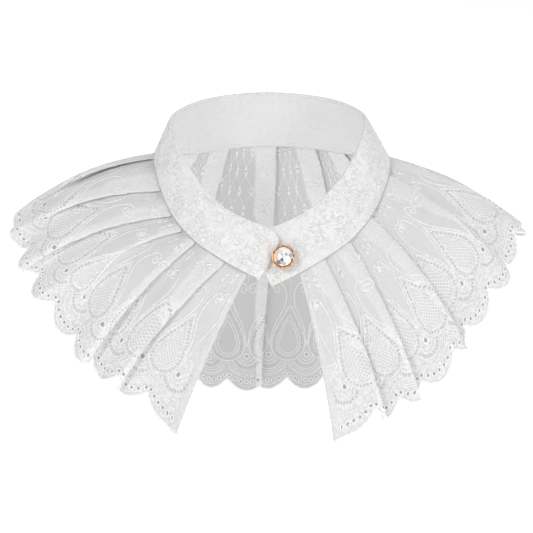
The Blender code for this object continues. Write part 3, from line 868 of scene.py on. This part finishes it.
# %% [markdown]
# ## The band
# The outer layer is a brocade: flowers, leaves and scrolls woven thicker than their ground.
# They are real relief here, under half a millimetre high, because they catch light from
# the side. Every flower and scroll is a formula in a, the length along the band, and h, the
# height up it, so that the pattern bends with the cloth and isn't cut from a picture. The
# fine grooves between them are contour lines of a smooth noise: thinner than the grid's steps,
# so they are left to the finish and its bump. The finish also paints shade into the grooves
# and along the edges of the relief, and a painted highlight on the raised parts and crests.

# %% A flower, a scroll, leaves and tendrils of the brocade
def ridge(distance, width):
    """A rounded raised line: exp(-(distance / width)^2)."""
    return np.exp(-(distance / width) ** 2)


def brocade_flower(a, h, size, turn, petals=5):
    """Ridges along r = size * (0.72 + 0.28 cos(petals * angle)) and along half of it, and a round eye."""
    r, angle = np.hypot(a, h), np.arctan2(h, a) + turn
    rim = size * (0.72 + 0.28 * np.cos(petals * angle))
    return np.maximum(np.maximum(ridge(r - rim, 0.48), 0.6 * ridge(r - 0.52 * rim, 0.42)), ease((0.2 * size - r) / 0.5))


def brocade_scroll(a, h, size, turn):
    """Raised line where the distance to a spiral r = size * (1 - 0.55 turns) is small, one and a half turns long."""
    r, angle = np.hypot(a, h), (np.arctan2(h, a) + turn) % (2 * np.pi)
    gap = 99.0
    for lap in (0, 1):
        gap = np.minimum(gap, np.abs(r - size * (1 - 0.52 * (angle / (2 * np.pi) + lap))))
    return ridge(gap, 0.45) * (r < size * 1.12)


def brocade(a, h):
    """Highest of all flowers, scrolls, leaves and tendrils at (a, h) in millimetres, from 0 to 1."""
    relief = np.zeros_like(a)
    for row, (up, start) in enumerate(((0.12, 0.0), (0.37, 6.0), (0.63, 2.0), (0.88, 8.0))):
        for k in range(42):
            wobble = np.sin(k * 2.4 + row * 1.7)
            a0, h0 = start + k * 11.0 + 1.6 * wobble, up * 36 + 1.2 * np.cos(k * 1.9 + row)
            near = (np.abs(a - a0) < 10) & (np.abs(h - h0) < 9)
            if np.sin(k * 1.1 + row * 2.3) > 0.86 or not near.any():
                continue
            x, y = a[near] - a0, h[near] - h0
            size = 3.1 + 0.6 * wobble
            here = brocade_flower(x, y, size, 0.7 * k + row, 5 + k % 2)
            side = 1 if k % 2 else -1
            here = np.maximum(here, 0.9 * brocade_scroll(side * (x - side * (size + 2.4)), y - 1.2 * wobble, 2.4, 1.3 * k))
            for leaf in range(5):
                turn = 1.257 * leaf + 0.8 * k
                along, across = x * np.cos(turn) + y * np.sin(turn), y * np.cos(turn) - x * np.sin(turn)
                shape = 1 - ((along - size - 1.9) / 1.8) ** 2 - (across / 1.05) ** 2
                here = np.maximum(here, 0.75 * np.maximum(ridge(shape, 0.55), ridge(across, 0.3) * (shape > 0)))
            tendril = y + side * (4.6 - 1.5 * np.sin(1.25 * x + k))
            here = np.maximum(here, 0.7 * ridge(tendril, 0.4) * (np.abs(x) < 6))
            relief[near] = np.maximum(relief[near], here)
    return relief


# %% The finish of the brocade, with painted shade and highlight on its relief
brocade_finish = Finish("white brocade", Roughness=0.7)
_, _, raised = brocade_finish.on_points("weave")
brocade_place = brocade_finish.place()
yarns = brocade_finish.noise(brocade_place, 1100.0, 3.0, 0.75)
flecks = brocade_finish.noise(brocade_place, 420.0, 2.0, 0.6)
# Largest where the relief slopes: used to paint shade along the edges of the motifs.
relief_edge_painted_shade = raised * (1 - raised) * 4.0
swirls = brocade_finish.noise(brocade_place, 230.0, 1.0, 0.3)
contour = abs((swirls * 4.5).fraction() - 0.5)
woven = brocade_finish.noise(brocade_place, 75.0, 1.0).between(0.40, 0.54)
# Grooves get painted shade and the crests between them a painted highlight; the grooves also sink the bump.
groove_with_painted_shade, crest_painted_highlight = contour.between(0.17, 0.04) * woven, contour.between(0.3, 0.45) * woven
# Painted light: raised motifs and crests lighter as a painted highlight, relief edges and grooves darker as painted
# shade; yarns and flecks are the weave's own tone.
lightness = raised * 0.5 + yarns * 0.35 + flecks * 0.25 - relief_edge_painted_shade * 0.4 - groove_with_painted_shade * 0.42 + crest_painted_highlight * 0.12 + 0.28
brocade_tone = brocade_finish.blend(lightness.between(0.0, 0.95), grey(0.68), grey(0.87))
# Dark specks along the relief edges, painted shade.
relief_edge_specks_painted_shade = flecks.between(0.40, 0.33) * relief_edge_painted_shade
brocade_finish.feed("Base Color", brocade_finish.blend(relief_edge_specks_painted_shade, brocade_tone, grey(0.66)))
brocade_finish.bump(yarns * 0.6 + flecks * 0.5 + raised * 0.4 - groove_with_painted_shade * 0.7, 0.0004, 0.6)

# %% The outer layer in relief
def band_grid(rows, columns, depth):
    """Grid of the band between its slanting ends at a depth from its middle surface."""
    height = np.linspace(0, 1, rows)[:, None] * np.ones(columns)
    start, end = band_ends(height)
    angle = start + (end - start) * np.linspace(0, 1, columns)
    return band_point(angle, height, depth * np.ones_like(height)), angle, height


def along_band(angle, height):
    """Length along the band's middle line and height up it, in millimetres."""
    at = np.linspace(-15, 375, 400)
    line = band_point(at, np.full(400, 0.5), np.zeros(400))
    run = np.concatenate([[0], np.cumsum(np.linalg.norm(np.diff(line, axis=0), axis=1))])
    return np.interp(angle, at, run), height * np.linalg.norm(band_axes(angle)[1], axis=-1)


def band_layer(name, rows, columns, front, back, material, node, weave=None):
    """A layer of the band from its visible face to its hidden one; weave gives a relief."""
    face, angle, height = band_grid(rows, columns, front)
    a, h = along_band(angle, height)
    from_end = np.minimum(np.arange(columns), np.arange(columns)[::-1])
    relief = weave(a, h) * ease(np.minimum(height, 1 - height) * 14) * ease(from_end / 8) if weave else np.zeros_like(a)
    outward = band_axes(angle)[2] * np.sign(front)
    face = face + outward * (0.45 * relief)[..., None]
    points = np.concatenate([face.reshape(-1, 3), band_grid(rows, columns, back)[0].reshape(-1, 3)])
    faces = shell_faces(rows, columns)
    piece = make_mesh(name, points, faces[:, ::-1] if front > 0 else faces, material)
    keep_on_points(piece, "weave", np.concatenate([np.stack([a, h, relief], -1).reshape(-1, 3)] * 2))
    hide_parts(node)
    return piece


OUTER_FACE, INNER_FACE = GAP / 2 + WALL, -GAP / 2 - WALL
band_outer_cloth = band_layer("band_outer_cloth", 62, 760, OUTER_FACE, GAP / 2, brocade_finish.material,
                              "band_outer", brocade)

# %% The smooth facing
cotton_finish = Finish("smooth cotton facing", Roughness=0.8)
along, up_band, _ = cotton_finish.on_points("weave")
cotton_place = cotton_finish.place()
warp = ((along * 9.0).wave() + (up_band * 9.0).wave()) * 0.25 + 0.5
slub = cotton_finish.noise(cotton_place, 300.0, 3.0, 0.6)
cotton_finish.feed("Base Color", cotton_finish.blend((slub * 0.8 + warp * 0.2).between(0.1, 0.9), grey(0.70), grey(0.78)))
cotton_finish.bump(warp * 0.5 + slub * 0.5, 0.0002, 0.4)
band_facing_cloth = band_layer("band_facing_cloth", 24, 400, INNER_FACE, -GAP / 2, cotton_finish.material,
                               "band_facing")

# %% [markdown]
# ## Piping, seam line painted as shadow, and topstitch
# A cord covered with the band's cloth is sewn between the two layers along the top edge and
# the front ends, so it stands a little proud of both. The seam line at the foot of the band is a
# cord in the ditch, coloured dark grey as painted shadow over the stitching. Topstitches are
# short cords with gaps between them. They are swept along the band with the same function as
# the embroidery.

# %% The piping round the band
def band_path(angle, height, depth):
    """Points on the band and its way out, as one curve."""
    angle, height = np.broadcast_arrays(np.asarray(angle, float), height)
    return band_point(angle, height, np.full(angle.shape, float(depth))), band_axes(angle)[2]


climb = np.linspace(0, 1, 40)
start_angles, end_angles = band_ends(climb)
rim_angle = np.concatenate([start_angles, np.linspace(start_angles[-1], end_angles[-1], 420)[1:-1], end_angles[::-1]])
rim_height = np.concatenate([climb, np.ones(418), climb[::-1]])
rim_path, rim_out = band_path(rim_angle, rim_height, 0.0)
twist = 0.62 + 0.05 * np.cos(np.arange(len(rim_angle)) * np.pi)
points, faces = cords(rim_path[None], rim_out[None], twist[None], OUTER_FACE + 0.12, 8)
band_piping = make_mesh("band_piping", points, faces, brocade_finish.material)
keep_on_points(band_piping, "weave", np.zeros((len(points), 3)))

# %% The seam line, a cord painted dark as shadow, and the topstitches
# The seam cord's dark grey is painted shadow in the ditch between band and ruffle, over real stitching.
seam_shadow_finish = Finish("seam thread painted as shadow", Roughness=0.9)
seam_noise = seam_shadow_finish.noise(seam_shadow_finish.place(), 700.0)
seam_shadow_finish.feed("Base Color", seam_shadow_finish.blend(seam_noise, grey(0.38), grey(0.55)))
seam_angle = np.linspace(0.5, 352.8, 500)
seam_path, seam_out = band_path(seam_angle, 0.0, OUTER_FACE - 0.15)
points, faces = cords(seam_path[None], seam_out[None], 0.3, 0.3, 6)
band_seam_shadow_line = make_mesh("band_seam_shadow_line", points, faces, seam_shadow_finish.material)


def stitches(height, depth, count, half_width):
    """Short cords along the band at one height; each fills 7 tenths of its step."""
    start, end = (float(np.interp(height, climb, x)) for x in (start_angles, end_angles))
    step = (end - start) / count
    angle = start + step * (np.arange(count)[:, None] + np.array([0.15, 0.5, 0.85]))
    path, out = band_path(angle, height, depth)
    return cords(path, out, half_width, 0.24, 4)


points, faces = joined([stitches(0.945, OUTER_FACE, 170, 0.2), stitches(0.07, INNER_FACE, 170, 0.2),
                        stitches(0.94, INNER_FACE, 170, 0.16)])
band_topstitch = make_mesh("band_topstitch", points, faces, thread_finish.material)

# %% [markdown]
# ## The button
# The button is a turned rose-gold setting with a milled rim and a cut stone. A turned form
# is a profile carried round an axis. The milling is a wave on the profile's radius. The stone
# has flat facets: an eight-sided table, then stars, kites and triangles down to the girdle.
# Its sparkle comes from facets that each send back another part of the room. That is drawn
# as one colour for each facet, so it also shows where there is no room to reflect.

# %% The axis of the button
BUTTON_ANGLE, BUTTON_HEIGHT, BUTTON_RADIUS = 6.6, 0.40, 6.6
RIM_BACK, RIM_FRONT, STONE_RADIUS, STONE_SEAT, STONE_TOP = 4.5, 6.9, 5.6, 5.8, 8.5
low, up, out = band_axes(np.array([BUTTON_ANGLE]))
button_middle = (low + up * BUTTON_HEIGHT)[0]
button_out, button_up = out[0], unit(up)[0]
button_side = np.cross(button_up, button_out)


def on_button(radius, turn, depth):
    """Middle + out * depth + (side * cos + up * sin) * radius."""
    return (button_middle + button_out * np.asarray(depth)[..., None]
            + (button_side * np.cos(turn)[..., None] + button_up * np.sin(turn)[..., None]) * np.asarray(radius)[..., None])


# %% The setting with its milled rim
gold_finish = Finish("rose gold brass", Metallic=1.0)
gold_place = gold_finish.place()
rubbed = gold_finish.noise(gold_place, 500.0, 3.0, 0.6)
gold_finish.feed("Base Color", gold_finish.blend(rubbed.between(0.35, 0.65), (0.72, 0.30, 0.09, 1), (0.97, 0.56, 0.27, 1)))
gold_finish.feed("Roughness", rubbed * 0.2 + 0.18)
around = np.linspace(0, 2 * np.pi, 240, endpoint=False)
rim_section = np.array([(6.25, RIM_BACK), (6.75, RIM_BACK + 0.2), (6.95, RIM_BACK + 0.8), (6.95, RIM_FRONT - 0.7),
                        (6.8, RIM_FRONT - 0.15), (6.5, RIM_FRONT), (6.1, RIM_FRONT - 0.05), (5.8, RIM_FRONT - 0.35),
                        (5.75, 5.6), (5.75, 5.2)])
milling = np.array([0, 0.6, 1, 1, 0.9, 0.45, 0.1, 0, 0, 0])
radius = rim_section[:, :1] - 0.16 * milling[:, None] * (1 - np.cos(48 * around))
rim_points = on_button(radius, np.broadcast_to(around, radius.shape), np.broadcast_to(rim_section[:, 1:], radius.shape))
index = np.arange(radius.size).reshape(radius.shape)
rim_faces = np.stack([index, np.roll(index, -1, 1), np.roll(np.roll(index, -1, 0), -1, 1), np.roll(index, -1, 0)], -1).reshape(-1, 4)
shank_foot = OUTER_FACE + GAP + 0.05
back_profile = np.array([(1.3, shank_foot), (1.3, RIM_BACK), (4.2, RIM_BACK - 0.02), (6.3, RIM_BACK + 0.1), (5.85, 5.45)])
back_turn = around[::8]
back_points = on_button(np.broadcast_to(back_profile[:, :1], (5, 30)), np.broadcast_to(back_turn, (5, 30)),
                        np.broadcast_to(back_profile[:, 1:], (5, 30)))
index = np.arange(150).reshape(5, 30)
back_faces = np.stack([index[:-1], np.roll(index, -1, 1)[:-1], np.roll(index, -1, 1)[1:], index[1:]], -1).reshape(-1, 4)
lids = np.stack([index[0, ::-1], index[-1]])
points = np.concatenate([rim_points.reshape(-1, 3), back_points.reshape(-1, 3)])
button_metal = make_mesh("button_metal", points, [rim_faces, back_faces + radius.size, lids + radius.size], gold_finish.material)
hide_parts("button_setting")

# %% The cut stone
stone_finish = Finish("cut clear stone", Roughness=0.08, IOR=1.6, Coat_Weight=1.0, Coat_Roughness=0.03)
facet_tone = stone_finish.node("ShaderNodeAttribute", {"attribute_name": "facet"}, {}, "Color")
stone_finish.feed("Base Color", facet_tone)
eighth = np.arange(8) * np.pi / 4
heart_ring = on_button(np.full(8, 1.5), eighth, np.full(8, STONE_TOP))
table_ring = on_button(np.full(8, 3.1), eighth, np.full(8, STONE_TOP))
middle_ring = on_button(np.full(8, 4.6), eighth + np.pi / 8, np.full(8, 7.75))
girdle_turn = np.arange(16) * np.pi / 8
girdle_ring = on_button(np.full(16, STONE_RADIUS), girdle_turn, np.full(16, RIM_FRONT - 0.1))
seat_ring = on_button(np.full(16, STONE_RADIUS), girdle_turn, np.full(16, STONE_SEAT))
k = np.arange(8)
table, middle = k, 8 + k
girdle, seat, heart = 16 + np.arange(16), 32 + np.arange(16), 48 + k
mirrors = np.stack([table, np.roll(table, -1), np.roll(heart, -1), heart], -1)
slivers = np.stack([heart, np.roll(heart, -1), np.full(8, 56)], -1)
stars = np.stack([table, middle, np.roll(table, -1)], -1)
kites = np.stack([table, np.roll(middle, 1), girdle[2 * k], middle], -1)
upper = np.concatenate([np.stack([middle, girdle[2 * k], girdle[2 * k + 1]], -1),
                        np.stack([middle, girdle[2 * k + 1], girdle[(2 * k + 2) % 16]], -1)])
walls = np.stack([girdle, seat, np.roll(seat, -1), np.roll(girdle, -1)], -1)
crown = np.concatenate([table_ring, middle_ring, girdle_ring, seat_ring, heart_ring, heart_ring.mean(0, keepdims=True)])
button_crystal = make_mesh("button_crystal", crown, [mirrors, slivers, stars, kites, upper, walls, seat[None, ::-1]],
                           stone_finish.material, smooth=False)
tones = {"w": (0.95, 0.94, 0.93), "g": (0.42, 0.42, 0.46), "d": (0.12, 0.13, 0.18), "p": (0.90, 0.60, 0.42), "l": (0.74, 0.73, 0.76)}
facets = "gwpwwdww" + "wlgwwgwl" + "wwlppgww" + "gwwlpdgw" + "wlwgwpwd" + "lwgwpwlw" + "g" * 16 + "g"
colours = np.array([(*tones[letter], 1.0) for letter in facets], np.float32)
attribute = button_crystal.data.attributes.new("facet", "FLOAT_COLOR", "FACE")
attribute.data.foreach_set("color", colours.ravel())
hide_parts("button_stone")

# %% [markdown]
# ## The area of the lace
# The ruffle and both layers of the band are thin cloth. The area of the lace strip comes
# from the same grid as the cloth.

# %% The area of the strip
strip_area = float(np.trapz(cloth_height[0] - cloth_height[-1], cloth_c))
cloth_length * MM
print("area of the strip:", round(strip_area / 100), "square cm")

# %% [markdown]
# ## Floor, light and camera
# White cloth on a white ground shows its form by soft shade only. Three large soft lights and
# a weak grey sky keep the lit side just under pure white, and the floor gives off a little
# light of its own so that it stays white. The camera stands a metre away, slightly above, as
# worked out from the photograph.

# %% Floor, light and camera
FLOOR_Z = -0.195
floor_mesh = bpy.data.meshes.new("floor")
floor_mesh.from_pydata([(-6, -6, FLOOR_Z), (6, -6, FLOOR_Z), (6, 6, FLOOR_Z), (-6, 6, FLOOR_Z)], [], [(0, 1, 2, 3)])
floor = bpy.data.objects.new("floor", floor_mesh)
bpy.context.scene.collection.objects.link(floor)
floor_finish = Finish("pale floor", Roughness=0.9, Emission_Strength=0.5)
floor_finish.shader.inputs["Base Color"].default_value = grey(0.95)
floor_finish.shader.inputs["Emission Color"].default_value = grey(1.0)
floor_mesh.materials.append(floor_finish.material)


def soft_light(name, place, target, size, power):
    """A square soft box that faces a point."""
    light = bpy.data.lights.new(name, "AREA")
    light.size, light.energy = size, power
    lamp = bpy.data.objects.new(name, light)
    lamp.location = place
    lamp.rotation_euler = (mathutils.Vector(target) - mathutils.Vector(place)).to_track_quat("-Z", "Y").to_euler()
    bpy.context.scene.collection.objects.link(lamp)


soft_light("key light", (-1.0, -1.2, 1.0), (0, 0, 0), 0.5, 9.6)
soft_light("fill light", (1.2, -1.0, 0.8), (0, 0, 0), 0.8, 8.8)
soft_light("back light", (0.3, 1.3, 1.0), (0, 0, 0), 1.2, 6)
world = bpy.data.worlds.new("studio")
bpy.context.scene.world = world
bpy.context.scene.view_settings.view_transform = "Standard"
world.use_nodes = True
world.node_tree.nodes["Background"].inputs["Color"].default_value = (1, 1, 1, 1)
world.node_tree.nodes["Background"].inputs["Strength"].default_value = 0.48

camera_data = bpy.data.cameras.new("camera")
camera = bpy.data.objects.new("camera", camera_data)
bpy.context.scene.collection.objects.link(camera)
camera.location = (-0.0001, -0.9506, 0.2355)
camera.rotation_euler = (1.26781, 0.00056, 0.00199)
camera_data.sensor_width = 36
camera_data.lens = 1587.6 / 533 * 36
bpy.context.scene.camera = camera
